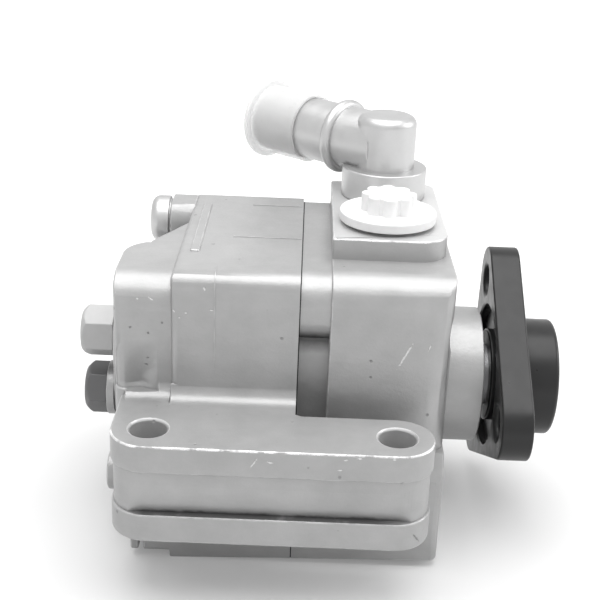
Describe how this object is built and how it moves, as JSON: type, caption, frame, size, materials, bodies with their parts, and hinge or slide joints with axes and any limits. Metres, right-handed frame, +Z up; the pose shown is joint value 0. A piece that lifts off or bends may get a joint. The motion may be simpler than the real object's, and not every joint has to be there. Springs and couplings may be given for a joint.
{
  "type": "power steering pump",
  "caption": "Vane-type hydraulic power steering pump, split aluminium housing, side mounting foot, three-lobed drive flange, suction elbow and plugged pressure port",
  "frame": {"origin": "on the shaft axis, in the flange's pulley face", "axes": "+X runs out along the shaft toward the pulley, +Z is up along the foot's screw holes and the pressure port, +Y points away from the foot"},
  "size_m": [0.1322, 0.1198, 0.112],
  "materials": {
    "cast_aluminium": "satin as-cast",
    "black_steel": "satin black",
    "dark_steel": "blackened",
    "plated_steel": "zinc plated",
    "ground_steel": "ground",
    "plate_iron": "lapped",
    "bronze": "bearing bronze",
    "nitrile": "matte",
    "gasket": "matte",
    "white_plastic": "satin",
    "clear_plastic": "milky",
    "washer_aluminium": "plain"
  },
  "bodies": {
    "housing": {"rear_housing": "cast_aluminium", "front_housing": "cast_aluminium", "body_gasket": "gasket", "housing_screws": "dark_steel", "dowel_pins": "ground_steel", "front_plate": "plate_iron", "cam_ring": "plate_iron", "pressure_plate": "plate_iron", "plate_seal": "nitrile", "disc_spring": "ground_steel", "front_bush": "bronze", "rear_bush": "bronze", "shaft_seal": "nitrile", "garter_spring": "ground_steel", "seal_clip": "ground_steel", "suction_elbow": "plated_steel", "elbow_seal": "nitrile", "gallery_plug": "plated_steel", "bleed_screw": "dark_steel", "bleed_washer": "washer_aluminium", "valve_plug": "plated_steel", "valve_plug_seal": "nitrile", "valve_spring": "ground_steel"},
    "drive": {"drive_shaft": "ground_steel", "drive_flange": "black_steel", "rotor": "ground_steel", "rotor_clip": "ground_steel"},
    "spool": {"valve_spool": "ground_steel"},
    "cap": {"dust_cap": "clear_plastic"},
    "stopper": {"port_plug": "white_plastic"},
    "vane_body_1": {"vane_1": "ground_steel"},
    "vane_body_2": {"vane_2": "ground_steel"},
    "vane_body_3": {"vane_3": "ground_steel"},
    "vane_body_4": {"vane_4": "ground_steel"},
    "vane_body_5": {"vane_5": "ground_steel"},
    "vane_body_6": {"vane_6": "ground_steel"},
    "vane_body_7": {"vane_7": "ground_steel"},
    "vane_body_8": {"vane_8": "ground_steel"},
    "vane_body_9": {"vane_9": "ground_steel"},
    "vane_body_10": {"vane_10": "ground_steel"}
  },
  "joints": [
    {"name": "shaft_spin", "type": "hinge", "parent": "housing", "child": "drive", "pos_m": [0, 0, 0], "axis": [1, 0, 0], "continuous": true},
    {"name": "spool_slide", "type": "slide", "parent": "housing", "child": "spool", "axis": [-1, 0, 0], "range_m": [0, 0.006], "stiffness_N_per_m": 3000, "springref_m": -0.006, "deforming": ["valve_spring"]},
    {"name": "dust_cap_pull", "type": "slide", "parent": "housing", "child": "cap", "axis": [-0.766, 0.6428, 0], "range_m": [0, 0.04]},
    {"name": "port_plug_pull", "type": "slide", "parent": "housing", "child": "stopper", "axis": [0, 0, 1], "range_m": [0, 0.04]},
    {"name": "vane_1_slide", "type": "slide", "parent": "drive", "child": "vane_body_1", "axis": [0, 1, 0], "range_m": [-0.0006, 0]},
    {"name": "vane_2_slide", "type": "slide", "parent": "drive", "child": "vane_body_2", "axis": [0, 0.809, 0.5878], "range_m": [-0.0006, 0]},
    {"name": "vane_3_slide", "type": "slide", "parent": "drive", "child": "vane_body_3", "axis": [0, 0.309, 0.9511], "range_m": [-0.0006, 0]},
    {"name": "vane_4_slide", "type": "slide", "parent": "drive", "child": "vane_body_4", "axis": [0, -0.309, 0.9511], "range_m": [-0.0006, 0]},
    {"name": "vane_5_slide", "type": "slide", "parent": "drive", "child": "vane_body_5", "axis": [0, -0.809, 0.5878], "range_m": [-0.0006, 0]},
    {"name": "vane_6_slide", "type": "slide", "parent": "drive", "child": "vane_body_6", "axis": [0, -1, 0], "range_m": [-0.0006, 0]},
    {"name": "vane_7_slide", "type": "slide", "parent": "drive", "child": "vane_body_7", "axis": [0, -0.809, -0.5878], "range_m": [-0.0006, 0]},
    {"name": "vane_8_slide", "type": "slide", "parent": "drive", "child": "vane_body_8", "axis": [0, -0.309, -0.9511], "range_m": [-0.0006, 0]},
    {"name": "vane_9_slide", "type": "slide", "parent": "drive", "child": "vane_body_9", "axis": [0, 0.309, -0.9511], "range_m": [-0.0006, 0]},
    {"name": "vane_10_slide", "type": "slide", "parent": "drive", "child": "vane_body_10", "axis": [0, 0.809, -0.5878], "range_m": [-0.0006, 0]}
  ]
}
